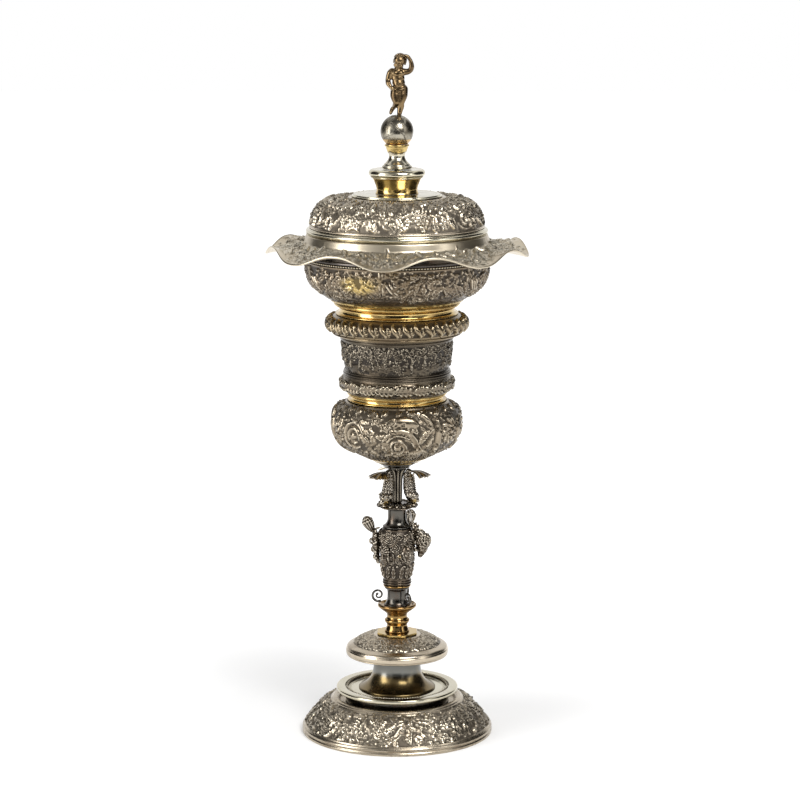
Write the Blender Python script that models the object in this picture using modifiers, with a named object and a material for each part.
"""Covered standing cup in silver and gilt silver, built as turned shells stacked on a tie rod.

Origin at the centre of the foot's base, +Z up, metres. The front faces -Y.
"""

import math

import bmesh
import bpy
from mathutils import Matrix, Vector
from mathutils.geometry import interpolate_bezier

MM = 0.001

# Fits shared by every piece.
SEAT_GAP = 0.3 * MM
WALL = 1.2 * MM
ROD_RADIUS = 2.0 * MM
ROD_CLEARANCE = 0.5 * MM

# Foot, open underneath, with a sunken floor that carries the stem.
FOOT_RADIUS = 64.5 * MM
FOOT_HEIGHT = 24.6 * MM
FOOT_RIM_HEIGHT = 3.9 * MM
FOOT_BASE_WIDTH = 3.0 * MM
FOOT_OPENING_RADIUS = 40.8 * MM
FOOT_FLOOR_DROP = 3.6 * MM

# Drum, dish and spool over the foot.
DRUM_RADIUS = 35.0 * MM
DRUM_HEIGHT = 6.7 * MM
DISH_RADIUS = 41.3 * MM
DISH_HEIGHT = 3.2 * MM
DISH_WELL_RADIUS = 35.1 * MM
DISH_FLOOR = 1.4 * MM
GALLERY_WIDTH = 1.4 * MM
GALLERY_HEIGHT = 1.8 * MM
SPOOL_BASE_RADIUS = 26.0 * MM
SPOOL_WAIST_RADIUS = 15.7 * MM
SPOOL_TOP_RADIUS = 17.0 * MM
SPOOL_HEIGHT = 24.5 * MM
SPOOL_NECK_RADIUS = 12.5 * MM

# Domed disc and the octagonal washer on it.
DISC_RADIUS = 34.7 * MM
DISC_RIM_HEIGHT = 4.0 * MM
DISC_HEIGHT = 13.8 * MM
DISC_STEP_RADIUS = 30.4 * MM
DISC_TOP_RADIUS = 15.2 * MM
DISC_LIFT = 23.5 * MM
WASHER_RADIUS = 14.4 * MM
WASHER_HEIGHT = 1.4 * MM

# Lower baluster with its collar and saucer.
BALUSTER_FOOT_RADIUS = 7.8 * MM
BALUSTER_FOOT_HEIGHT = 5.6 * MM
COLLAR_RADIUS = 8.5 * MM
COLLAR_HEIGHT = 3.6 * MM
SAUCER_STEM_RADIUS = 6.8 * MM
SAUCER_RADIUS = 13.2 * MM
SAUCER_HEIGHT = 10.0 * MM
SAUCER_RIM = 2.5 * MM
SAUCER_DEPTH = 1.2 * MM

# Polished neck over the saucer and its three wire scrolls.
NECK_RADIUS = 6.6 * MM
NECK_HEIGHT = 12.6 * MM
SCROLL_COUNT = 3
SCROLL_RADIUS = 4.6 * MM
SCROLL_WIRE = 0.9 * MM
SCROLL_CENTRE = 12.8 * MM
SCROLL_FIRST_ANGLE = 183.0

# Cast vase knop with three brackets and three bosses.
VASE_RING_RADIUS = 9.4 * MM
VASE_RING_HEIGHT = 1.3 * MM
VASE_HEIGHT = 39.0 * MM
VASE_FOOT_RADIUS = 9.9 * MM
VASE_FOOT_HEIGHT = 2.4 * MM
VASE_STEM_RADIUS = 9.1 * MM
VASE_BODY_RADIUS = 12.8 * MM
VASE_SHOULDER_HEIGHT = 29.0 * MM
VASE_TOP_RADIUS = 9.9 * MM
BRACKET_WIRE = 1.6 * MM
BRACKET_RISE = 17.0 * MM
BRACKET_BULGE = 2.2 * MM
BUD_LENGTH = 9.0 * MM
BUD_RADIUS = 3.6 * MM
CLUSTER_RADIUS = 4.6 * MM
CLUSTER_DROP = 15.0 * MM
BOSS_HEIGHT = 14.0 * MM
BOSS_WIDTH = 8.4 * MM
BOSS_RELIEF = 3.8 * MM

# Upper polished neck, platform and the three dolphins.
UPPER_NECK_RADIUS = 6.3 * MM
UPPER_NECK_HEIGHT = 13.4 * MM
PLATFORM_RADIUS = 13.8 * MM
PLATFORM_HEIGHT = 3.0 * MM
CORE_RADIUS = 3.3 * MM
CALYX_HEIGHT = 24.0 * MM
DOLPHIN_COUNT = 3
DOLPHIN_FIRST_ANGLE = 225.0
DOLPHIN_GIRTH = 4.4 * MM
DOLPHIN_BREADTH = 1.2
DOLPHIN_REACH = 10.6 * MM
TAIL_REACH = 22.5 * MM
TAIL_THICKNESS = 1.0 * MM

# Bowl plate and bulb.
PLATE_RADIUS = 12.3 * MM
PLATE_HEIGHT = 3.5 * MM
BULB_HEIGHT = 42.2 * MM
BULB_RADIUS = 43.6 * MM
BULB_WIDEST = 26.5 * MM
BULB_BASE_RADIUS = 14.5 * MM
BULB_MOUTH_RADIUS = 33.2 * MM
BULB_UNITS = 3
BULB_RELIEF = 0.8 * MM
BULB_SCROLL_RADIUS = 10.5 * MM
BULB_CURL_WIDTH = 8.4 * MM
BULB_CURL_LENGTH = 18.0 * MM
BULB_OVAL_RADIUS = 8.0 * MM
BULB_FLOWER_RADIUS = 5.2 * MM
BULB_ROSETTE_RADIUS = 7.4 * MM
BULB_RIB_WIDTH = 2.8 * MM

# Lower gilt neck, leaf torus, barrel and rope torus.
LOWER_WAIST_RADIUS = 31.0 * MM
LOWER_WAIST_HEIGHT = 5.4 * MM
BARREL_WAIST_RADIUS = 34.8 * MM
LEAF_PROUD = 3.7 * MM
LEAF_RADIUS = BARREL_WAIST_RADIUS + LEAF_PROUD
LEAF_HEIGHT = 11.2 * MM
BARREL_FLARE = 2.9 * MM
BARREL_RADIUS = BARREL_WAIST_RADIUS + BARREL_FLARE
BARREL_HEIGHT = 26.5 * MM
ROPE_RADIUS = 47.6 * MM
ROPE_HEIGHT = 13.9 * MM
UPPER_WAIST_RADIUS = 38.6 * MM
UPPER_WAIST_HEIGHT = 7.8 * MM

# Bowl and its beaded rim.
BOWL_RADIUS = 61.9 * MM
BOWL_HEIGHT = 28.4 * MM
BOWL_BASE_RADIUS = 42.2 * MM
BEAD_WIDTH = 1.5 * MM
BEAD_HEIGHT = 1.2 * MM

# Cover: collar inside the bowl, wavy brim, moulding and dome.
COLLAR_PLAY = 1.7 * MM
TONGUE_DEPTH = 9.0 * MM
SHOULDER_HEIGHT = 1.5 * MM
BEZEL_HEIGHT = 14.0 * MM
BRIM_RADIUS = 88.0 * MM
BRIM_DROP = 10.0 * MM
BRIM_THICKNESS = 1.0 * MM
BRIM_LOBES = 8
BRIM_WAVE = 7.4 * MM
BRIM_SHELF = 0.13
BRIM_PHASE = -96.0
DOME_RADIUS = 58.2 * MM
MOULDING_PROUD = 2.1 * MM
MOULDING_RADIUS = DOME_RADIUS + MOULDING_PROUD
MOULDING_HEIGHT = 3.7 * MM
BRIM_NECK_PROUD = 0.4 * MM
BRIM_NECK_RADIUS = MOULDING_RADIUS + BRIM_NECK_PROUD
DOME_HEIGHT = 19.9 * MM
DOME_TOP_RADIUS = 44.0 * MM
DOME_HOLE_RADIUS = 26.0 * MM
DOME_UNITS = 6
DOME_RELIEF = 1.3 * MM
DOME_SCROLL_RADIUS = 5.4 * MM
DOME_FLOWER_RADIUS = 4.6 * MM
GRAPE_WIDTH = 8.4 * MM
GRAPE_LENGTH = 11.6 * MM
TOP_PLATE_RADIUS = 30.2 * MM
TOP_PLATE_HEIGHT = 1.7 * MM

# Knob spool, finial and figure.
KNOB_RADIUS = 18.8 * MM
KNOB_HEIGHT = 16.0 * MM
KNOB_RING_HEIGHT = 5.2 * MM
KNOB_WAIST_RADIUS = 13.6 * MM
FINIAL_HEIGHT = 16.0 * MM
FINIAL_FOOT_RADIUS = 10.2 * MM
FINIAL_WAIST_RADIUS = 5.3 * MM
FINIAL_CUP_RADIUS = 8.0 * MM
BALL_RADIUS = 10.9 * MM
BALL_SEAT_RADIUS = 7.2 * MM
STUD_RADIUS = 1.8 * MM
FIGURE_HEIGHT = 41.4 * MM

# Fastenings.
NUT_RADIUS = 4.6 * MM
NUT_HEIGHT = 3.6 * MM
ROD_TAIL = 1.6 * MM
LOCK_WASHER_RADIUS = 8.0 * MM
LOCK_WASHER_HEIGHT = 1.0 * MM

# Relief on a shell: how far it is rooted in the wall, and over what length its slope is taken.
RELIEF_ROOT = 0.6 * WALL
RELIEF_SINK = 0.25 * WALL
SLOPE_LENGTH = 3.0 * MM

# Facets round pieces of small, middle and large radius.
FINE = 24
MEDIUM = 16
COARSE = 12

BORE = ROD_RADIUS + ROD_CLEARANCE
STUD_BORE = STUD_RADIUS + ROD_CLEARANCE

SILVER = ((0.72, 0.70, 0.64), 0.22)
GILT = ((0.80, 0.58, 0.24), 0.18)
CHASED = ((0.36, 0.33, 0.29), 0.38)
GUNMETAL = ((0.17, 0.16, 0.15), 0.30)
BRONZE = ((0.30, 0.23, 0.13), 0.36)


for old in list(bpy.data.objects):
    bpy.data.objects.remove(old, do_unlink=True)


def new_collection(name):
    group = bpy.data.collections.new(name)
    bpy.context.scene.collection.children.link(group)
    return group


cup_parts = new_collection("standing_cup")
cutters = new_collection("cutters")


# Shared tools: outlines in (radius, height), solids and placing.

def arc(centre_r, centre_z, radius, start, end, count):
    """Points along a circle, angles in degrees, from start to end."""
    points = []
    for step in range(count):
        angle = math.radians(start + (end - start) * step / (count - 1))
        points.append((centre_r + radius * math.cos(angle), centre_z + radius * math.sin(angle)))
    return points


def sweep(start, first_handle, second_handle, end, count):
    """Points along a cubic curve in the outline's plane."""
    knots = [Vector((r, z, 0.0)) for r, z in (start, first_handle, second_handle, end)]
    return [(p.x, p.y) for p in interpolate_bezier(*knots, count)]


def bored(outline, radius):
    """Closes an outer side with a straight bore."""
    return outline + [(radius, outline[-1][1]), (radius, outline[0][1])]


def hollow(outline, wall):
    """Closes an outer side with an inner side one wall away, on fewer points where it only curves."""
    inner = []
    last = len(outline) - 1
    for index, (r, z) in enumerate(outline):
        ahead = Vector(outline[min(index + 1, last)]) - Vector(outline[min(index, last - 1)])
        behind = Vector(outline[max(index, 1)]) - Vector(outline[max(index - 1, 0)])
        even = 0.6 < ahead.length / behind.length < 1.7
        ahead.normalize()
        behind.normalize()
        corner = ahead.dot(behind) < 0.8
        if 0 < index < last and index % 2 and even and not corner:
            continue
        along = (ahead + behind).normalized()
        depth = wall / max(along.dot(ahead), 0.5)
        inner.append((r + along.y * depth, z - along.x * depth))
    return outline + inner[::-1]


def finish(obj, look):
    """Gives a piece its own metal and smooth shading with crisp arrises."""
    colour, roughness = look
    metal = bpy.data.materials.new(obj.name)
    metal.use_nodes = True
    shader = metal.node_tree.nodes["Principled BSDF"]
    shader.inputs["Base Color"].default_value = (*colour, 1.0)
    shader.inputs["Metallic"].default_value = 1.0
    shader.inputs["Roughness"].default_value = roughness
    obj.data.materials.clear()
    obj.data.materials.append(metal)
    obj.data.shade_smooth()
    obj.data.set_sharp_from_angle(angle=math.radians(38))
    cup_parts.objects.link(obj)
    return obj


def settle(obj):
    """Turns a piece with modifiers, or a curve, into its finished mesh."""
    bpy.context.scene.collection.objects.link(obj)
    depsgraph = bpy.context.evaluated_depsgraph_get()
    mesh = bpy.data.meshes.new_from_object(obj.evaluated_get(depsgraph))
    settled = bpy.data.objects.new(obj.name, mesh)
    settled.matrix_world = obj.matrix_world.copy()
    name = obj.name
    bpy.data.objects.remove(obj, do_unlink=True)
    settled.name = name
    return settled


def mesh_object(name, bm):
    mesh = bpy.data.meshes.new(name)
    bm.to_mesh(mesh)
    bm.free()
    return bpy.data.objects.new(name, mesh)


def turned(name, outline, steps, height, look, closed=True, parent=None, twist=0.0, relief=None):
    """Spins an outline about the cup's axis and raises the given relief on it."""
    bm = bmesh.new()
    verts = [bm.verts.new((r, 0.0, z)) for r, z in outline]
    for a, b in zip(verts, verts[1:]):
        bm.edges.new((a, b))
    if closed:
        bm.edges.new((verts[-1], verts[0]))
    obj = mesh_object(name, bm)
    screw = obj.modifiers.new("spin", "SCREW")
    screw.steps = steps
    screw.render_steps = steps
    screw.use_merge_vertices = True
    screw.merge_threshold = 0.00001
    obj = settle(obj)
    if twist:
        obj.data.transform(Matrix.Rotation(math.radians(twist), 4, "Z"))
    if relief is not None:
        obj = combine(obj, relief, "UNION")
    finish(obj, look)
    place(obj, height, parent)
    return obj


def place(obj, height, parent):
    obj.location.z = height
    if parent is not None:
        obj.parent = parent
        obj.location.z = height - parent.location.z


def wire(name, path, radii, resolution):
    """A tapered round wire along a path of 3D points, as a welded mesh."""
    curve = bpy.data.curves.new(name, "CURVE")
    curve.dimensions = "3D"
    curve.bevel_depth = 1.0
    curve.bevel_resolution = resolution
    curve.use_fill_caps = True
    spline = curve.splines.new("POLY")
    spline.points.add(len(path) - 1)
    for point, place_at, radius in zip(spline.points, path, radii):
        point.co = (*place_at, 1.0)
        point.radius = radius
    obj = settle(bpy.data.objects.new(name, curve))
    bm = bmesh.new()
    bm.from_mesh(obj.data)
    bmesh.ops.remove_doubles(bm, verts=bm.verts, dist=0.00001)
    bmesh.ops.recalc_face_normals(bm, faces=bm.faces)
    bm.to_mesh(obj.data)
    bm.free()
    return obj


def ellipsoid(name, centre, radii, segments, rings, turn=None):
    bm = bmesh.new()
    bmesh.ops.create_uvsphere(bm, u_segments=segments, v_segments=rings, radius=1.0)
    obj = mesh_object(name, bm)
    matrix = Matrix.Translation(centre)
    if turn is not None:
        matrix = matrix @ turn
    obj.data.transform(matrix @ Matrix.Diagonal((*radii, 1.0)))
    return obj


def combine(base, other, operation):
    """Boolean of two loose meshes. The second one is used up."""
    cutters.objects.link(other)
    other.hide_render = True
    other.display_type = "WIRE"
    cut = base.modifiers.new(operation, "BOOLEAN")
    cut.operation = operation
    cut.object = other
    cut.solver = "EXACT"
    base = settle(base)
    bpy.data.objects.remove(other, do_unlink=True)
    return base


def around(angle):
    return Matrix.Rotation(math.radians(angle), 4, "Z")


def flank_length(outline):
    return sum((Vector(high) - Vector(low)).length for low, high in zip(outline, outline[1:]))


def on_flank(outline, along):
    """Point of an outer side at a length up from its lower end."""
    for low, high in zip(outline[::-1], outline[-2::-1]):
        step = Vector(high) - Vector(low)
        if along <= step.length or high is outline[0]:
            break
        along -= step.length
    return Vector(low) + step * (along / step.length)


def swelling(bm, outline, angle, share, half_width, half_length, relief, tilt=0.0):
    """A low oval that follows an outer side, at an angle from the front and a share of its length."""
    rise = share * flank_length(outline)
    middle = on_flank(outline, rise)
    turn = Matrix.Rotation(math.radians(tilt), 2)
    for vert in bmesh.ops.create_uvsphere(bm, u_segments=8, v_segments=4, radius=1.0)["verts"]:
        flat = turn @ Vector((vert.co.x * half_width, vert.co.y * half_length))
        along = rise + flat.y
        slope = on_flank(outline, along + 0.5 * SLOPE_LENGTH) - on_flank(outline, along - 0.5 * SLOPE_LENGTH)
        outward = Vector((slope.y, -slope.x)).normalized()
        depth = vert.co.z * (relief if vert.co.z > 0.0 else RELIEF_ROOT) - RELIEF_SINK
        at = on_flank(outline, along) + outward * depth
        turned_by = math.radians(angle - 90.0) + flat.x / middle.x
        vert.co = (at.x * math.cos(turned_by), at.x * math.sin(turned_by), at.y)


# Heights of every seat, from the base upwards.
floor_z = FOOT_HEIGHT - FOOT_FLOOR_DROP
drum_z = floor_z + SEAT_GAP
dish_z = drum_z + DRUM_HEIGHT + SEAT_GAP
dish_floor_z = dish_z + DISH_FLOOR + SEAT_GAP
disc_z = dish_floor_z + DISC_LIFT
washer_z = disc_z + DISC_HEIGHT + SEAT_GAP
baluster_z = washer_z + WASHER_HEIGHT + SEAT_GAP
baluster_height = BALUSTER_FOOT_HEIGHT + COLLAR_HEIGHT + SAUCER_HEIGHT
neck_z = baluster_z + baluster_height - SAUCER_DEPTH + SEAT_GAP
vase_ring_z = neck_z + NECK_HEIGHT + SEAT_GAP
vase_z = vase_ring_z + VASE_RING_HEIGHT + SEAT_GAP
upper_neck_z = vase_z + VASE_HEIGHT + SEAT_GAP
platform_z = upper_neck_z + UPPER_NECK_HEIGHT + SEAT_GAP
calyx_z = platform_z + PLATFORM_HEIGHT + SEAT_GAP
plate_z = calyx_z + CALYX_HEIGHT + SEAT_GAP
bulb_z = plate_z + PLATE_HEIGHT + SEAT_GAP
lower_waist_z = bulb_z + BULB_HEIGHT + SEAT_GAP
leaf_z = lower_waist_z + LOWER_WAIST_HEIGHT + SEAT_GAP
barrel_z = leaf_z + LEAF_HEIGHT + SEAT_GAP
rope_z = barrel_z + BARREL_HEIGHT + SEAT_GAP
upper_waist_z = rope_z + ROPE_HEIGHT + SEAT_GAP
bowl_z = upper_waist_z + UPPER_WAIST_HEIGHT + SEAT_GAP
bead_z = bowl_z + BOWL_HEIGHT + SEAT_GAP
rim_z = bead_z + BEAD_HEIGHT + SEAT_GAP
brim_z = rim_z + BEZEL_HEIGHT + SEAT_GAP + BRIM_THICKNESS
moulding_z = brim_z + SEAT_GAP
dome_z = moulding_z + MOULDING_HEIGHT + SEAT_GAP
top_plate_z = dome_z + DOME_HEIGHT + SEAT_GAP
knob_z = top_plate_z + TOP_PLATE_HEIGHT + SEAT_GAP
finial_z = knob_z + KNOB_HEIGHT + SEAT_GAP
ball_seat_z = finial_z + FINIAL_HEIGHT + SEAT_GAP
ball_z = ball_seat_z + math.sqrt(BALL_RADIUS ** 2 - BALL_SEAT_RADIUS ** 2)

# The collar stands inside both the bowl and the brim's neck.
bezel_radius = min(BOWL_RADIUS - WALL - COLLAR_PLAY, BRIM_NECK_RADIUS - 1.5 * WALL)

# The cover rides on an empty at the cup's rim, on the line it lifts along.
cover_axis = bpy.data.objects.new("cover_lift_axis", None)
cover_axis.location.z = rim_z
cup_parts.objects.link(cover_axis)


# Foot

def build_foot():
    crest = FOOT_OPENING_RADIUS
    shoulder = (crest + 4.2 * MM, FOOT_HEIGHT - 1.6 * MM)
    step = (FOOT_RADIUS - 1.3 * MM, FOOT_RIM_HEIGHT + 2.1 * MM)
    span = step[0] - shoulder[0]
    fall = shoulder[1] - step[1]
    outline = [
        (BORE, floor_z),
        (crest - 2.3 * MM, floor_z),
        (crest - 1.5 * MM, floor_z + 0.6 * FOOT_FLOOR_DROP),
        (crest, FOOT_HEIGHT),
        (crest + 2.4 * MM, FOOT_HEIGHT - 0.3 * MM),
    ]
    outline += sweep(
        shoulder,
        (shoulder[0] + 0.44 * span, shoulder[1] - 0.12 * fall),
        (shoulder[0] + 0.69 * span, shoulder[1] - 0.65 * fall),
        step,
        5,
    )
    outline += [
        (FOOT_RADIUS, FOOT_RIM_HEIGHT),
        (FOOT_RADIUS, 0.0),
        (FOOT_RADIUS - FOOT_BASE_WIDTH, 0.0),
    ]
    turned("foot_ring", hollow(outline, WALL), FINE, 0.0, SILVER)


def build_dish():
    drum = [(BORE, DRUM_HEIGHT), (DRUM_RADIUS, DRUM_HEIGHT), (DRUM_RADIUS, 0.0)]
    turned("foot_drum", hollow(drum, WALL), MEDIUM, drum_z, GUNMETAL)

    edge = 0.4 * DISH_HEIGHT
    dish = [
        (BORE, DISH_FLOOR),
        (DISH_WELL_RADIUS, DISH_FLOOR),
        (DISH_WELL_RADIUS + 0.3 * MM, DISH_HEIGHT - 0.2 * MM),
        (DISH_RADIUS - edge, DISH_HEIGHT),
    ]
    dish += arc(DISH_RADIUS - edge, DISH_HEIGHT - edge, edge, 45, 0, 2)
    dish += arc(DISH_RADIUS - edge, edge, edge, 0, -90, 3)
    dish += [(BORE, 0.0)]
    turned("foot_dish", dish, FINE, dish_z, SILVER)

    outer = DISH_WELL_RADIUS - SEAT_GAP
    gallery = bored([(outer, GALLERY_HEIGHT), (outer, 0.0)], outer - GALLERY_WIDTH)
    turned("dish_gallery", gallery, MEDIUM, dish_floor_z, GUNMETAL)


def build_spool():
    outline = [
        (SPOOL_NECK_RADIUS, DISC_LIFT + DISC_HEIGHT - WALL - SEAT_GAP),
        (SPOOL_NECK_RADIUS, SPOOL_HEIGHT + 1.0 * MM),
        (SPOOL_TOP_RADIUS, SPOOL_HEIGHT),
    ]
    outline += sweep(
        (SPOOL_TOP_RADIUS - 0.3 * MM, SPOOL_HEIGHT - 2.0 * MM),
        (SPOOL_WAIST_RADIUS - 0.4 * MM, 0.62 * SPOOL_HEIGHT),
        (SPOOL_WAIST_RADIUS - 0.8 * MM, 0.22 * SPOOL_HEIGHT),
        (SPOOL_BASE_RADIUS - 0.5 * MM, 1.0 * MM),
        6,
    )
    outline += [(SPOOL_BASE_RADIUS, 0.0), (BORE, 0.0), (BORE, outline[0][1])]
    turned("trumpet_spool", outline, MEDIUM, dish_floor_z, SILVER)


def build_disc():
    step_z = DISC_HEIGHT - 6.2 * MM
    outline = [(BORE, DISC_HEIGHT)]
    outline += sweep(
        (DISC_TOP_RADIUS, DISC_HEIGHT),
        (DISC_TOP_RADIUS + 0.42 * (DISC_STEP_RADIUS - DISC_TOP_RADIUS), DISC_HEIGHT),
        (DISC_STEP_RADIUS - 1.6 * MM, step_z + 1.9 * MM),
        (DISC_STEP_RADIUS - 0.4 * MM, step_z),
        4,
    )
    outline += sweep(
        (DISC_STEP_RADIUS + 0.5 * MM, step_z - 0.4 * MM),
        (DISC_STEP_RADIUS + 2.4 * MM, step_z - 0.8 * MM),
        (DISC_RADIUS, DISC_RIM_HEIGHT + 1.6 * MM),
        (DISC_RADIUS, DISC_RIM_HEIGHT),
        3,
    )
    outline += [(DISC_RADIUS, 0.8 * MM), (DISC_RADIUS - 0.5 * MM, 0.0)]
    turned("domed_disc", hollow(outline, WALL), MEDIUM, disc_z, CHASED)

    washer = bored([(WASHER_RADIUS, WASHER_HEIGHT), (WASHER_RADIUS, 0.0)], BORE)
    turned("stem_washer", washer, 8, washer_z, GILT, twist=22.5)


# Lower stem

def build_baluster():
    collar_z = BALUSTER_FOOT_HEIGHT
    saucer_z = collar_z + COLLAR_HEIGHT
    top = saucer_z + SAUCER_HEIGHT
    outline = [
        (BORE, top - SAUCER_DEPTH),
        (SAUCER_RADIUS - 3.0 * MM, top - SAUCER_DEPTH),
        (SAUCER_RADIUS - 1.2 * MM, top),
        (SAUCER_RADIUS, top - 0.5 * SAUCER_RIM),
        (SAUCER_RADIUS - 0.5 * MM, top - SAUCER_RIM),
    ]
    outline += sweep(
        (SAUCER_RADIUS - 1.3 * MM, top - 1.7 * SAUCER_RIM),
        (SAUCER_STEM_RADIUS + 2.2 * MM, saucer_z + 0.42 * SAUCER_HEIGHT),
        (SAUCER_STEM_RADIUS, saucer_z + 0.3 * SAUCER_HEIGHT),
        (SAUCER_STEM_RADIUS, saucer_z + 0.5 * MM),
        4,
    )
    outline += [
        (COLLAR_RADIUS, saucer_z - 0.6 * MM),
        (COLLAR_RADIUS, collar_z + 0.4 * MM),
        (BALUSTER_FOOT_RADIUS - 0.7 * MM, collar_z - 0.9 * MM),
        (BALUSTER_FOOT_RADIUS, 0.5 * collar_z),
        (BALUSTER_FOOT_RADIUS + 0.5 * MM, 0.0),
        (BORE, 0.0),
    ]
    turned("lower_baluster", outline, COARSE, baluster_z, GILT)

    neck = [
        (BORE, NECK_HEIGHT),
        (NECK_RADIUS + 2.0 * MM, NECK_HEIGHT),
        (NECK_RADIUS + 1.7 * MM, NECK_HEIGHT - 1.0 * MM),
        (NECK_RADIUS, NECK_HEIGHT - 3.4 * MM),
        (NECK_RADIUS, 0.42 * NECK_HEIGHT),
        (NECK_RADIUS + 0.8 * MM, 0.16 * NECK_HEIGHT),
        (NECK_RADIUS + 2.2 * MM, 0.0),
        (BORE, 0.0),
    ]
    turned("baluster_neck", neck, COARSE, neck_z, GUNMETAL)


def build_scrolls():
    """Wire volutes standing on the saucer's rim, curling inwards."""
    saucer_top = baluster_z + baluster_height
    centre_z = saucer_top + SEAT_GAP + SCROLL_WIRE + SCROLL_RADIUS
    path = []
    radii = []
    count = 12
    for step in range(count):
        t = step / (count - 1)
        angle = math.radians(-115 + 470 * t)
        reach = SCROLL_RADIUS * (1.0 - 0.78 * t)
        path.append((SCROLL_CENTRE + reach * math.cos(angle), 0.0, centre_z + reach * math.sin(angle)))
        radii.append(SCROLL_WIRE * (1.0 - 0.4 * t))
    for number in range(SCROLL_COUNT):
        obj = wire("saucer_scroll_%d" % (number + 1), path, radii, 1)
        obj.data.transform(around(SCROLL_FIRST_ANGLE + 360.0 * number / SCROLL_COUNT))
        finish(obj, GUNMETAL)


# Vase knop

def vase_outline():
    neck = VASE_FOOT_HEIGHT + 1.4 * MM
    outline = [(BORE, VASE_HEIGHT), (VASE_TOP_RADIUS, VASE_HEIGHT)]
    outline += sweep(
        (VASE_TOP_RADIUS + 1.5 * MM, VASE_HEIGHT - 0.9 * MM),
        (VASE_BODY_RADIUS - 0.6 * MM, VASE_HEIGHT - 2.6 * MM),
        (VASE_BODY_RADIUS, VASE_SHOULDER_HEIGHT + 4.0 * MM),
        (VASE_BODY_RADIUS, VASE_SHOULDER_HEIGHT),
        4,
    )
    outline += sweep(
        (VASE_BODY_RADIUS - 0.4 * MM, VASE_SHOULDER_HEIGHT - 4.0 * MM),
        (VASE_BODY_RADIUS - 1.3 * MM, 0.5 * VASE_SHOULDER_HEIGHT),
        (VASE_STEM_RADIUS + 1.6 * MM, 0.32 * VASE_SHOULDER_HEIGHT),
        (VASE_STEM_RADIUS, neck),
        4,
    )
    outline += [
        (VASE_FOOT_RADIUS, VASE_FOOT_HEIGHT - 0.2 * MM),
        (VASE_FOOT_RADIUS, 0.4 * MM),
        (VASE_FOOT_RADIUS - 0.6 * MM, 0.0),
        (BORE, 0.0),
    ]
    return outline


def vase_radius(height):
    """Radius of the vase's skin at a height above its seat."""
    skin = vase_outline()[1:-1]
    for (upper_r, upper_z), (lower_r, lower_z) in zip(skin, skin[1:]):
        if lower_z <= height <= upper_z:
            share = (height - lower_z) / (upper_z - lower_z)
            return lower_r + (upper_r - lower_r) * share
    return VASE_BODY_RADIUS


def build_vase():
    ring = [
        (BORE, VASE_RING_HEIGHT),
        (VASE_RING_RADIUS, VASE_RING_HEIGHT),
        (VASE_RING_RADIUS, 0.3 * VASE_RING_HEIGHT),
        (VASE_RING_RADIUS - 0.7 * MM, 0.0),
        (BORE, 0.0),
    ]
    turned("vase_ring", ring, COARSE, vase_ring_z, GILT)
    turned("vase_knop", vase_outline(), COARSE, vase_z, GUNMETAL)


def build_bracket(name, angle, tilt):
    """A double scroll up the vase's flank to its shoulder, ending in a flower bud."""
    foot_z = VASE_SHOULDER_HEIGHT + 4.5 * MM - BRACKET_RISE
    clear = SEAT_GAP + BRACKET_WIRE
    root = Vector((vase_radius(foot_z + BRACKET_RISE) + clear, 0.0, vase_z + foot_z + BRACKET_RISE))
    aim = Vector((math.cos(math.radians(tilt)), 0.0, math.sin(math.radians(tilt))))
    path = []
    radii = []
    count = 11
    for step in range(count):
        t = step / (count - 1)
        lobe = abs(math.sin(math.pi * t / 0.4)) * 0.6 if t < 0.4 else math.sin(math.pi * (t - 0.4) / 0.6)
        height = foot_z + BRACKET_RISE * t
        path.append((vase_radius(height) + clear + BRACKET_BULGE * lobe, 0.0, vase_z + height))
        radii.append(BRACKET_WIRE * (1.0 - 0.2 * lobe))
    for share, girth in ((0.30, 0.45), (0.55, 0.95), (0.80, 1.0), (0.95, 0.72)):
        path.append(tuple(root + aim * (share * BUD_LENGTH)))
        radii.append(girth * BUD_RADIUS)
    obj = wire(name, path, radii, 1)
    obj.data.transform(around(angle))
    finish(obj, GUNMETAL)


def build_cluster(name, angle):
    """A bracket that swings out from the shoulder and hangs down as a fruit cluster."""
    shoulder_z = vase_z + VASE_SHOULDER_HEIGHT + 6.5 * MM
    inner = VASE_BODY_RADIUS + SEAT_GAP
    hang = inner + CLUSTER_RADIUS
    stages = (
        (inner + BRACKET_WIRE, -0.22, 0.9 * BRACKET_WIRE),
        (inner + 1.6 * BRACKET_WIRE, 0.02, 1.1 * BRACKET_WIRE),
        (hang - 0.2 * CLUSTER_RADIUS, 0.08, 1.5 * BRACKET_WIRE),
        (hang, 0.24, 0.72 * CLUSTER_RADIUS),
        (hang, 0.40, CLUSTER_RADIUS),
        (hang, 0.58, 0.94 * CLUSTER_RADIUS),
        (hang, 0.76, 0.66 * CLUSTER_RADIUS),
        (hang + 0.06 * CLUSTER_RADIUS, 0.90, 0.46 * CLUSTER_RADIUS),
        (hang + 0.10 * CLUSTER_RADIUS, 1.0, 0.34 * CLUSTER_RADIUS),
    )
    path = [(r, 0.0, shoulder_z - drop * CLUSTER_DROP) for r, drop, girth in stages]
    obj = wire(name, path, [girth for r, drop, girth in stages], 2)
    obj.data.transform(around(angle))
    finish(obj, GUNMETAL)


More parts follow.
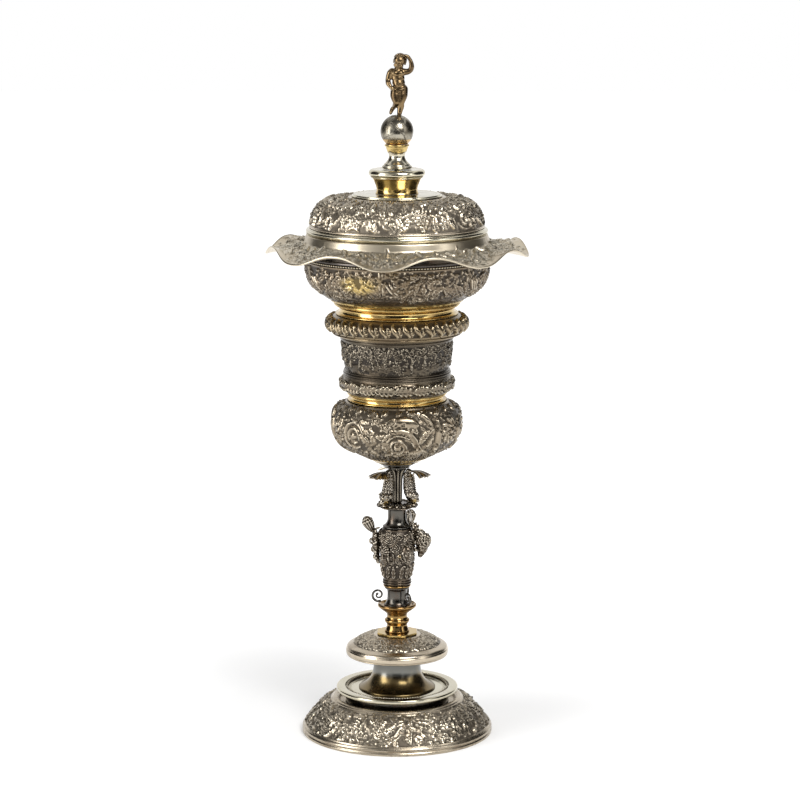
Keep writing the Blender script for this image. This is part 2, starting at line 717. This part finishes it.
def build_boss(name, angle):
    """A raised mask or fruit boss, cut to lie on the vase's flank."""
    middle = vase_z + 0.72 * VASE_SHOULDER_HEIGHT
    centre = Vector((VASE_BODY_RADIUS - 0.6 * MM, 0.0, middle))
    size = (BOSS_RELIEF, 0.5 * BOSS_WIDTH, 0.5 * BOSS_HEIGHT)
    obj = ellipsoid(name, centre, size, 10, 6)
    obj.data.transform(around(angle))
    bed = [(r + SEAT_GAP, z) for r, z in vase_outline()[1:-1]]
    bed = [(0.0, bed[0][1] + MM)] + bed + [(0.0, bed[-1][1] - MM)]
    bm = bmesh.new()
    verts = [bm.verts.new((r, 0.0, z + vase_z)) for r, z in bed]
    for a, b in zip(verts, verts[1:]):
        bm.edges.new((a, b))
    cutter = mesh_object("vase_bed", bm)
    screw = cutter.modifiers.new("spin", "SCREW")
    screw.steps = COARSE
    screw.render_steps = COARSE
    screw.use_merge_vertices = True
    screw.merge_threshold = 0.00001
    cutter = settle(cutter)
    obj = combine(obj, cutter, "DIFFERENCE")
    obj.name = name
    finish(obj, GUNMETAL)


# Upper neck and dolphins

def build_upper_neck():
    neck = [
        (BORE, UPPER_NECK_HEIGHT),
        (UPPER_NECK_RADIUS + 0.5 * MM, UPPER_NECK_HEIGHT),
        (UPPER_NECK_RADIUS, 0.8 * UPPER_NECK_HEIGHT),
        (UPPER_NECK_RADIUS, 0.45 * UPPER_NECK_HEIGHT),
        (UPPER_NECK_RADIUS + 0.9 * MM, 0.22 * UPPER_NECK_HEIGHT),
        (VASE_TOP_RADIUS - 0.8 * MM, 0.4 * MM),
        (VASE_TOP_RADIUS - 0.2 * MM, 0.0),
        (BORE, 0.0),
    ]
    turned("upper_neck", neck, COARSE, upper_neck_z, GUNMETAL)

    platform = [
        (BORE, PLATFORM_HEIGHT),
        (PLATFORM_RADIUS - 0.8 * MM, PLATFORM_HEIGHT),
        (PLATFORM_RADIUS, 0.6 * PLATFORM_HEIGHT),
        (PLATFORM_RADIUS - 0.4 * MM, 0.3 * PLATFORM_HEIGHT),
        (PLATFORM_RADIUS - 3.4 * MM, 0.0),
        (BORE, 0.0),
    ]
    turned("dolphin_platform", platform, COARSE, platform_z, GUNMETAL)

    core = bored([(CORE_RADIUS, CALYX_HEIGHT), (CORE_RADIUS, 0.0)], BORE)
    turned("calyx_core", core, COARSE, calyx_z, GUNMETAL)


def dolphin_spine(t):
    """Middle of the body at t, from the snout (0) to the root of the tail (1)."""
    near = CORE_RADIUS + SEAT_GAP
    knots = [
        Vector((DOLPHIN_REACH + 2.4 * MM, 0.0, 0.10 * CALYX_HEIGHT)),
        Vector((DOLPHIN_REACH, 0.0, 0.86 * DOLPHIN_GIRTH)),
        Vector((near + 1.12 * DOLPHIN_GIRTH, 0.0, 0.38 * CALYX_HEIGHT)),
        Vector((near + 1.00 * DOLPHIN_GIRTH, 0.0, 0.58 * CALYX_HEIGHT)),
        Vector((near + 0.84 * DOLPHIN_GIRTH, 0.0, 0.78 * CALYX_HEIGHT)),
        Vector((near + 1.00 * DOLPHIN_GIRTH, 0.0, 0.91 * CALYX_HEIGHT)),
    ]
    place_on = t * (len(knots) - 1)
    first = min(int(place_on), len(knots) - 2)
    return knots[first].lerp(knots[first + 1], place_on - first)


def build_dolphins():
    """Three dolphins, heads down on the platform, tails fanned under the bowl plate."""
    girths = (0.46, 0.86, 1.0, 1.0, 1.0, 0.98, 0.92, 0.84, 0.70, 0.56, 0.42)
    path = []
    radii = []
    for step, share in enumerate(girths):
        point = dolphin_spine(step / (len(girths) - 1))
        reach = min(share * DOLPHIN_GIRTH, point.x - CORE_RADIUS - SEAT_GAP)
        reach = min(reach, point.z, CALYX_HEIGHT - point.z)
        path.append(tuple(point))
        radii.append(reach)
    tail_root = dolphin_spine(1.0)
    head = dolphin_spine(0.2)
    for number in range(DOLPHIN_COUNT):
        name = "dolphin_%d" % (number + 1)
        obj = wire(name, path, radii, 2)
        obj.data.transform(Matrix.Diagonal((1.0, DOLPHIN_BREADTH, 1.0, 1.0)))
        brow = ellipsoid(
            "brow",
            head + Vector((0.22 * DOLPHIN_GIRTH, 0.0, 0.04 * DOLPHIN_GIRTH)),
            (0.96 * DOLPHIN_GIRTH, 1.04 * DOLPHIN_GIRTH, 0.88 * DOLPHIN_GIRTH),
            10,
            6,
        )
        obj = combine(obj, brow, "UNION")
        obj = combine(obj, tail_fan(tail_root), "UNION")
        for side in (-1, 1):
            obj = combine(obj, pectoral_fin(side), "UNION")
        obj.name = name
        obj.data.transform(around(DOLPHIN_FIRST_ANGLE + 360.0 * number / DOLPHIN_COUNT))
        finish(obj, GUNMETAL)
        place(obj, calyx_z, None)


def tail_fan(root):
    """A three-lobed fluke spreading outwards and drooping to its tips."""
    length = TAIL_REACH - root.x
    curve = bpy.data.curves.new("tail", "CURVE")
    curve.dimensions = "2D"
    curve.fill_mode = "BOTH"
    curve.extrude = 0.5 * TAIL_THICKNESS
    spline = curve.splines.new("POLY")
    half = [
        (-0.06, 0.08),
        (0.22, 0.16),
        (0.50, 0.44),
        (0.80, 0.62),
        (0.86, 0.36),
        (0.92, 0.17),
    ]
    loop = half + [(1.0, 0.0)] + [(x, -y) for x, y in reversed(half)]
    spline.points.add(len(loop) - 1)
    for point, (x, y) in zip(spline.points, loop):
        point.co = (x * length, y * length, 0.0, 1.0)
    spline.use_cyclic_u = True
    fan = settle(bpy.data.objects.new("tail", curve))
    bm = bmesh.new()
    bm.from_mesh(fan.data)
    bmesh.ops.remove_doubles(bm, verts=bm.verts, dist=0.00001)
    for vert in bm.verts:
        out = max(vert.co.x / length, 0.0)
        vert.co.z -= 0.20 * length * out ** 2.0 - 0.04 * length * math.sin(math.pi * out)
    bmesh.ops.recalc_face_normals(bm, faces=bm.faces)
    bm.to_mesh(fan.data)
    bm.free()
    fan.data.transform(Matrix.Translation(root))
    return fan


def pectoral_fin(side):
    """A short fin held down beside the head."""
    base = dolphin_spine(0.32)
    centre = base + Vector((0.1 * DOLPHIN_GIRTH, side * 1.05 * DOLPHIN_GIRTH, 0.1 * DOLPHIN_GIRTH))
    turn = Matrix.Rotation(math.radians(-side * 38), 4, "X")
    size = (0.42 * DOLPHIN_GIRTH, 0.16 * DOLPHIN_GIRTH, 0.70 * DOLPHIN_GIRTH)
    return ellipsoid("fin", centre, size, 6, 4, turn)


# Cup body

def arc_waist(top, waist, height, bottom=None):
    """A hollow moulding, widest at both seats."""
    bottom = top if bottom is None else bottom
    upper = sweep((top, height), (waist, height - 1.0 * MM), (waist, 0.62 * height), (waist, 0.48 * height), 4)
    lower = sweep((waist, 0.48 * height), (waist, 0.30 * height), (waist + 0.3 * MM, 0.9 * MM), (bottom, 0.0), 3)
    return upper + lower[1:]


def build_bulb():
    plate = [
        (BORE, PLATE_HEIGHT),
        (PLATE_RADIUS, PLATE_HEIGHT),
        (PLATE_RADIUS, 0.55 * PLATE_HEIGHT),
        (PLATE_RADIUS - 3.2 * MM, 0.0),
        (BORE, 0.0),
    ]
    turned("bowl_plate", plate, COARSE, plate_z, GUNMETAL)

    outline = sweep(
        (BULB_MOUTH_RADIUS, BULB_HEIGHT),
        (BULB_MOUTH_RADIUS + 5.5 * MM, BULB_HEIGHT - 1.5 * MM),
        (BULB_RADIUS - 0.6 * MM, BULB_HEIGHT - 4.5 * MM),
        (BULB_RADIUS - 0.8 * MM, BULB_WIDEST + 6.5 * MM),
        5,
    )
    outline += sweep(
        (BULB_RADIUS, BULB_WIDEST),
        (BULB_RADIUS - 0.6 * MM, 0.62 * BULB_WIDEST),
        (0.86 * BULB_RADIUS, 0.42 * BULB_WIDEST),
        (0.68 * BULB_RADIUS, 0.29 * BULB_WIDEST),
        5,
    )
    outline.append((BULB_BASE_RADIUS, 0.0))
    relief = bulb_relief(outline)
    outline.append((BORE, 0.0))
    turned("bulb_shell", hollow(outline, WALL), FINE, bulb_z, CHASED, relief=relief)


def bulb_relief(outline):
    """The large motifs of the chasing: scroll, curl, rib, rosette, oval scroll and flowers."""
    scroll = BULB_SCROLL_RADIUS
    oval = BULB_OVAL_RADIUS
    rosette = BULB_ROSETTE_RADIUS
    flower = BULB_FLOWER_RADIUS
    motifs = [
        (0.0, 0.51, scroll, scroll, 0.0),
        (24.5, 0.61, 0.5 * BULB_CURL_WIDTH, 0.5 * BULB_CURL_LENGTH, -12.0),
        (40.0, 0.58, 0.5 * BULB_RIB_WIDTH, 0.29 * flank_length(outline), 0.0),
        (56.0, 0.66, rosette, rosette, 0.0),
        (-41.5, 0.63, 0.9 * oval, oval, 0.0),
        (-16.0, 0.73, flower, flower, 0.0),
    ]
    bm = bmesh.new()
    for index in range(BULB_UNITS):
        first = 360.0 * index / BULB_UNITS
        for angle, share, half_width, half_length, tilt in motifs:
            swelling(bm, outline, first + angle, share, half_width, half_length, BULB_RELIEF, tilt)
    return mesh_object("bulb_relief", bm)


def build_middle():
    flare = BULB_MOUTH_RADIUS
    waist = LOWER_WAIST_RADIUS
    neck = arc_waist(flare, waist, LOWER_WAIST_HEIGHT)
    turned("lower_gilt_neck", bored(neck, waist - WALL), MEDIUM, lower_waist_z, GILT)

    inner = flare - WALL
    foot = flare + 0.6 * MM
    middle = 0.45 * LEAF_HEIGHT
    leaf = [(inner, LEAF_HEIGHT)]
    leaf += [(BARREL_WAIST_RADIUS + 1.4 * MM, LEAF_HEIGHT)]
    leaf += sweep(
        (LEAF_RADIUS - 1.2 * MM, LEAF_HEIGHT - 1.6 * MM),
        (LEAF_RADIUS + 0.2 * MM, 0.66 * LEAF_HEIGHT),
        (LEAF_RADIUS + 0.2 * MM, 0.28 * LEAF_HEIGHT),
        (LEAF_RADIUS - 2.4 * MM, 0.10 * LEAF_HEIGHT),
        5,
    )
    leaf += [(foot, 0.0), (inner, 0.0)]
    turned("leaf_torus", leaf, MEDIUM, leaf_z, CHASED)

    top = BARREL_HEIGHT
    barrel = [
        (BARREL_RADIUS, top),
        (BARREL_RADIUS, top - 3.6 * MM),
        (BARREL_RADIUS - 0.9 * MM, top - 5.2 * MM),
        (BARREL_WAIST_RADIUS + 1.5 * MM, 0.45 * top),
        (BARREL_WAIST_RADIUS, 5.4 * MM),
        (BARREL_WAIST_RADIUS + 1.0 * MM, 2.8 * MM),
        (BARREL_WAIST_RADIUS + 1.2 * MM, 0.0),
    ]
    turned("barrel_shell", bored(barrel, BARREL_WAIST_RADIUS - WALL), MEDIUM, barrel_z, CHASED)

    inner = BARREL_RADIUS - 1.6 * WALL
    centre = 0.52 * ROPE_HEIGHT
    rope = [(inner, ROPE_HEIGHT), (UPPER_WAIST_RADIUS + 2.6 * MM, ROPE_HEIGHT)]
    rope += sweep(
        (ROPE_RADIUS - 4.6 * MM, ROPE_HEIGHT - 1.0 * MM),
        (ROPE_RADIUS + 0.6 * MM, ROPE_HEIGHT - 2.4 * MM),
        (ROPE_RADIUS + 0.9 * MM, 0.32 * ROPE_HEIGHT),
        (ROPE_RADIUS - 4.8 * MM, 0.18 * ROPE_HEIGHT),
        6,
    )
    rope += [(BARREL_RADIUS + 0.9 * MM, 0.0), (inner, 0.0)]
    turned("rope_torus", rope, FINE, rope_z, CHASED)

    flare = UPPER_WAIST_RADIUS + 2.4 * MM
    neck = arc_waist(BOWL_BASE_RADIUS - 0.2 * MM, UPPER_WAIST_RADIUS, UPPER_WAIST_HEIGHT, flare)
    turned("upper_gilt_neck", bored(neck, UPPER_WAIST_RADIUS - WALL), MEDIUM, upper_waist_z, GILT)


def build_bowl():
    outline = [(BOWL_RADIUS, BOWL_HEIGHT)]
    outline += sweep(
        (BOWL_RADIUS, BOWL_HEIGHT - 1.5 * MM),
        (BOWL_RADIUS - 0.4 * MM, 0.72 * BOWL_HEIGHT),
        (BOWL_RADIUS - 1.6 * MM, 0.52 * BOWL_HEIGHT),
        (BOWL_RADIUS - 4.6 * MM, 0.40 * BOWL_HEIGHT),
        5,
    )
    outline += sweep(
        (BOWL_RADIUS - 7.4 * MM, 0.32 * BOWL_HEIGHT),
        (BOWL_RADIUS - 11.0 * MM, 0.20 * BOWL_HEIGHT),
        (BOWL_BASE_RADIUS + 3.4 * MM, 0.08 * BOWL_HEIGHT),
        (BOWL_BASE_RADIUS, 0.0),
        4,
    )
    turned("bowl_shell", hollow(outline, WALL), FINE, bowl_z, CHASED)

    outer = BOWL_RADIUS + 0.4 * MM
    bead = bored([(outer, BEAD_HEIGHT), (outer, 0.0)], outer - BEAD_WIDTH)
    turned("rim_beading", bead, FINE, bead_z, SILVER)


# Cover

def build_bezel():
    """The ring that drops into the bowl and carries the cover on its rim."""
    shoulder = BOWL_RADIUS - SEAT_GAP
    outline = [
        (bezel_radius, BEZEL_HEIGHT),
        (bezel_radius, SHOULDER_HEIGHT),
        (shoulder, SHOULDER_HEIGHT),
        (shoulder, 0.0),
        (bezel_radius, 0.0),
        (bezel_radius, -TONGUE_DEPTH),
        (bezel_radius - WALL, -TONGUE_DEPTH),
        (bezel_radius - WALL, BEZEL_HEIGHT),
    ]
    turned("cover_bezel", outline, FINE, rim_z, SILVER, parent=cover_axis)


def brim_wave(angle):
    """Height of the brim's edge at an angle: 0 at a lobe's tip, 1 between lobes."""
    half = math.pi / BRIM_LOBES
    offset = (angle - math.radians(BRIM_PHASE) + half) % (2.0 * half) - half
    share = abs(offset) / half
    shelf = math.sin(2.0 * math.pi * share) * (1.0 - math.exp(-((share / 0.12) ** 2)))
    return 0.5 - 0.5 * math.cos(math.pi * share) + BRIM_SHELF * shelf


def build_brim():
    """A spun brim whose edge is worked into lobes with a pointed tip each."""
    neck = BRIM_NECK_RADIUS
    span = BRIM_RADIUS - neck
    outline = [(bezel_radius - 2.0 * WALL, 0.0), (neck - 0.9 * MM, 0.0), (neck, -1.2 * MM)]
    outline += sweep(
        (neck + 1.3 * MM, -0.52 * BRIM_DROP),
        (neck + 2.4 * MM, -0.86 * BRIM_DROP),
        (neck + 0.42 * span, -0.98 * BRIM_DROP),
        (BRIM_RADIUS, -BRIM_DROP),
        4,
    )
    bm = bmesh.new()
    first = math.radians(BRIM_PHASE)
    verts = [bm.verts.new((r * math.cos(first), r * math.sin(first), z)) for r, z in outline]
    edges = [bm.edges.new(pair) for pair in zip(verts, verts[1:])]
    bmesh.ops.spin(
        bm,
        geom=verts + edges,
        cent=(0.0, 0.0, 0.0),
        axis=(0.0, 0.0, 1.0),
        angle=2.0 * math.pi,
        steps=BRIM_LOBES * 6,
        use_merge=True,
        use_duplicate=False,
    )
    bmesh.ops.recalc_face_normals(bm, faces=bm.faces)
    for vert in bm.verts:
        reach = math.hypot(vert.co.x, vert.co.y)
        share = min(max((reach - neck - 2.0 * MM) / (span - 2.0 * MM), 0.0), 1.0)
        height = brim_wave(math.atan2(vert.co.y, vert.co.x))
        vert.co.z += BRIM_WAVE * (height - 0.5) * share ** 1.3
        draw = 1.0 - 0.03 * height * share ** 2.0
        vert.co.x *= draw
        vert.co.y *= draw
    if sum(face.normal.z for face in bm.faces) < 0.0:
        bmesh.ops.reverse_faces(bm, faces=bm.faces)
    obj = mesh_object("cover_brim", bm)
    shell = obj.modifiers.new("wall", "SOLIDIFY")
    shell.thickness = BRIM_THICKNESS
    shell.offset = -1.0
    obj = settle(obj)
    finish(obj, SILVER)
    place(obj, brim_z, cover_axis)


def build_dome():
    radius = 0.5 * MOULDING_HEIGHT
    inner = DOME_RADIUS - WALL
    moulding = [(inner, MOULDING_HEIGHT)]
    moulding += arc(MOULDING_RADIUS - radius, radius, radius, 90, -90, 5)
    moulding += [(inner, 0.0)]
    turned("cover_moulding", moulding, FINE, moulding_z, SILVER, parent=cover_axis)

    crown = DOME_HEIGHT - 1.0 * MM
    outline = [(DOME_HOLE_RADIUS, DOME_HEIGHT), (0.5 * (DOME_HOLE_RADIUS + DOME_TOP_RADIUS), DOME_HEIGHT)]
    outline += sweep(
        (DOME_TOP_RADIUS, crown),
        (DOME_TOP_RADIUS + 5.0 * MM, crown - 1.0 * MM),
        (DOME_RADIUS - 3.0 * MM, 0.62 * crown),
        (DOME_RADIUS - 0.6 * MM, 0.10 * crown),
        6,
    )
    outline += [(DOME_RADIUS, 0.7 * MM), (DOME_RADIUS, 0.0)]
    relief = dome_relief(outline)
    turned("cover_dome", hollow(outline, WALL), FINE, dome_z, CHASED, parent=cover_axis, relief=relief)

    plate = [
        (STUD_BORE, TOP_PLATE_HEIGHT),
        (TOP_PLATE_RADIUS - 1.6 * MM, TOP_PLATE_HEIGHT),
        (TOP_PLATE_RADIUS - 1.4 * MM, 0.5 * TOP_PLATE_HEIGHT),
        (TOP_PLATE_RADIUS, 0.4 * TOP_PLATE_HEIGHT),
        (TOP_PLATE_RADIUS, 0.0),
        (STUD_BORE, 0.0),
    ]
    turned("top_plate", plate, MEDIUM, top_plate_z, SILVER, parent=cover_axis)


def dome_relief(outline):
    """The large motifs of the chasing: a scroll, grapes and two flowers in every unit."""
    scroll = DOME_SCROLL_RADIUS
    flower = DOME_FLOWER_RADIUS
    motifs = [
        (-3.0, 0.16, 1.15 * scroll, scroll, 0.0),
        (16.6, 0.21, 0.5 * GRAPE_WIDTH, 0.5 * GRAPE_LENGTH, -7.0),
        (-22.6, 0.15, flower, flower, 0.0),
        (-22.6, 0.385, flower, flower, 0.0),
    ]
    bm = bmesh.new()
    for index in range(DOME_UNITS):
        first = 360.0 * index / DOME_UNITS
        for angle, share, half_width, half_length, tilt in motifs:
            swelling(bm, outline, first + angle, share, half_width, half_length, DOME_RELIEF, tilt)
    return mesh_object("dome_relief", bm)


def build_knob():
    ring_z = KNOB_HEIGHT - KNOB_RING_HEIGHT
    half = 0.5 * KNOB_RING_HEIGHT
    outline = [(STUD_BORE, KNOB_HEIGHT), (FINIAL_FOOT_RADIUS + 4.0 * MM, KNOB_HEIGHT)]
    outline += arc(KNOB_RADIUS - half, KNOB_HEIGHT - half, half, 70, -70, 5)
    outline += sweep(
        (KNOB_RADIUS - 3.0 * MM, ring_z - 0.5 * MM),
        (KNOB_WAIST_RADIUS + 0.8 * MM, 0.52 * ring_z),
        (KNOB_WAIST_RADIUS - 0.2 * MM, 0.35 * ring_z),
        (KNOB_WAIST_RADIUS + 0.8 * MM, 0.0),
        5,
    )
    outline += [(STUD_BORE, 0.0)]
    turned("knob_spool", outline, MEDIUM, knob_z, GILT, parent=cover_axis)


def build_finial():
    waist_z = 0.60 * FINIAL_HEIGHT
    outline = [
        (STUD_BORE, FINIAL_HEIGHT),
        (FINIAL_CUP_RADIUS, FINIAL_HEIGHT),
        (FINIAL_CUP_RADIUS, FINIAL_HEIGHT - 0.8 * MM),
    ]
    outline += sweep(
        (FINIAL_CUP_RADIUS - 1.3 * MM, FINIAL_HEIGHT - 2.2 * MM),
        (FINIAL_WAIST_RADIUS, waist_z + 2.0 * MM),
        (FINIAL_WAIST_RADIUS - 0.4 * MM, waist_z - 3.0 * MM),
        (FINIAL_FOOT_RADIUS - 1.2 * MM, 2.6 * MM),
        5,
    )
    outline += [
        (FINIAL_FOOT_RADIUS, 1.9 * MM),
        (FINIAL_FOOT_RADIUS, 0.5 * MM),
        (FINIAL_FOOT_RADIUS - 0.6 * MM, 0.0),
        (STUD_BORE, 0.0),
    ]
    turned("finial_baluster", outline, COARSE, finial_z, SILVER, parent=cover_axis)

    seat = math.degrees(math.asin(-(ball_z - ball_seat_z) / BALL_RADIUS))
    ball = arc(0.0, 0.0, BALL_RADIUS, 90, seat, 9)
    ball[0] = (0.0, BALL_RADIUS)
    seat_z = ball_seat_z - ball_z
    ball += [(STUD_BORE, seat_z), (STUD_BORE, 0.0), (0.0, 0.0)]
    turned("finial_ball", ball, COARSE, ball_z, SILVER, closed=False, parent=cover_axis)


def build_figure():
    """A child figure on one foot, one hand at the hip and one raised to the head."""
    size = FIGURE_HEIGHT
    base = ball_z + BALL_RADIUS
    lumps = bmesh.new()

    def point(x, y, z):
        return Vector((x, y, z)) * size + Vector((0.0, 0.0, base))

    def lump(x, y, z, rx, ry, rz):
        matrix = Matrix.Translation(point(x, y, z)) @ Matrix.Diagonal((rx * size, ry * size, rz * size, 1.0))
        bmesh.ops.create_uvsphere(lumps, u_segments=16, v_segments=10, radius=1.0, matrix=matrix)

    def limb(start, end, thick, thin):
        a = point(*start)
        b = point(*end)
        count = 7
        for step in range(count):
            t = step / (count - 1)
            centre = a.lerp(b, t)
            radius = (thick + (thin - thick) * t) * size
            matrix = Matrix.Translation(centre) @ Matrix.Scale(radius, 4)
            bmesh.ops.create_uvsphere(lumps, u_segments=12, v_segments=8, radius=1.0, matrix=matrix)

    lump(0.045, -0.010, 0.862, 0.095, 0.100, 0.115)
    lump(0.045, 0.010, 0.895, 0.110, 0.108, 0.098)
    limb((0.040, 0.000, 0.760), (0.035, 0.000, 0.700), 0.055, 0.070)
    lump(0.010, 0.000, 0.655, 0.118, 0.085, 0.078)
    lump(0.030, -0.006, 0.560, 0.115, 0.092, 0.085)
    lump(0.040, -0.002, 0.470, 0.125, 0.098, 0.085)
    limb((-0.090, 0.000, 0.690), (-0.165, -0.020, 0.560), 0.055, 0.043)
    limb((-0.165, -0.020, 0.560), (-0.110, -0.085, 0.475), 0.042, 0.036)
    limb((0.130, 0.000, 0.695), (0.235, -0.015, 0.715), 0.052, 0.043)
    limb((0.235, -0.015, 0.715), (0.225, -0.030, 0.870), 0.042, 0.035)
    limb((0.225, -0.030, 0.870), (0.130, -0.010, 0.945), 0.034, 0.036)
    limb((0.085, -0.010, 0.410), (0.060, -0.055, 0.230), 0.085, 0.055)
    limb((0.060, -0.055, 0.230), (0.035, -0.060, 0.060), 0.055, 0.036)
    limb((0.035, -0.060, 0.045), (0.040, -0.135, -0.005), 0.036, 0.026)
    limb((-0.030, -0.010, 0.410), (-0.005, -0.090, 0.215), 0.080, 0.055)
    limb((-0.005, -0.090, 0.215), (-0.075, 0.030, 0.080), 0.052, 0.034)
    limb((-0.075, 0.030, 0.080), (-0.115, 0.090, 0.055), 0.034, 0.026)

    obj = mesh_object("putto", lumps)
    skin = obj.modifiers.new("skin", "REMESH")
    skin.mode = "VOXEL"
    skin.voxel_size = 0.011 * size
    thin = obj.modifiers.new("thin", "DECIMATE")
    thin.ratio = 0.038
    thin.use_collapse_triangulate = True
    obj = settle(obj)
    stand = ellipsoid("stand", Vector((0.0, 0.0, ball_z)), (BALL_RADIUS + SEAT_GAP,) * 3, 32, 24)
    obj = combine(obj, stand, "DIFFERENCE")
    obj.name = "putto"
    obj.data.transform(Matrix.Translation((0.0, 0.0, -rim_z)))
    finish(obj, BRONZE)
    obj.parent = cover_axis


# Fastenings

def build_fastenings():
    under_floor = floor_z - WALL
    lock_z = under_floor - SEAT_GAP - LOCK_WASHER_HEIGHT
    foot_nut_z = lock_z - SEAT_GAP - NUT_HEIGHT
    top_nut_z = bulb_z + WALL + SEAT_GAP
    rod_bottom = foot_nut_z - ROD_TAIL
    rod_top = top_nut_z + NUT_HEIGHT + ROD_TAIL
    washer = bored([(LOCK_WASHER_RADIUS, LOCK_WASHER_HEIGHT), (LOCK_WASHER_RADIUS, 0.0)], BORE)
    nut_bore = ROD_RADIUS + 2.0 * SEAT_GAP
    nut = bored([(NUT_RADIUS, NUT_HEIGHT), (NUT_RADIUS, 0.0)], nut_bore)
    turned("rod_washer", washer, COARSE, lock_z, SILVER)
    turned("rod_nut_lower", nut, 6, foot_nut_z, SILVER)
    turned("rod_nut_upper", nut, 6, top_nut_z, SILVER)
    rod = [(0.0, rod_top - rod_bottom), (ROD_RADIUS, rod_top - rod_bottom), (ROD_RADIUS, 0.0), (0.0, 0.0)]
    turned("tie_rod", rod, 12, rod_bottom, GUNMETAL, closed=False)

    stud_nut_z = top_plate_z - SEAT_GAP - NUT_HEIGHT
    stud_bottom = stud_nut_z - ROD_TAIL
    stud_top = ball_z - SEAT_GAP
    stud_nut = bored([(NUT_RADIUS, NUT_HEIGHT), (NUT_RADIUS, 0.0)], STUD_RADIUS + 2.0 * SEAT_GAP)
    stud = [(0.0, stud_top - stud_bottom), (STUD_RADIUS, stud_top - stud_bottom), (STUD_RADIUS, 0.0), (0.0, 0.0)]
    turned("finial_nut", stud_nut, 6, stud_nut_z, SILVER, parent=cover_axis)
    turned("finial_stud", stud, 12, stud_bottom, GUNMETAL, closed=False, parent=cover_axis)


build_foot()
build_dish()
build_spool()
build_disc()
build_baluster()
build_scrolls()
build_vase()
build_bracket("vase_bracket_left", 187.0, 48.0)
build_bracket("vase_bracket_back", 62.0, 68.0)
build_cluster("vase_cluster_right", -14.0)
build_boss("vase_mask_right", -57.0)
build_boss("vase_fruit_left", -121.0)
build_boss("vase_mask_back", 125.0)
build_upper_neck()
build_dolphins()
build_bulb()
build_middle()
build_bowl()
build_bezel()
build_brim()
build_dome()
build_knob()
build_finial()
build_figure()
build_fastenings()
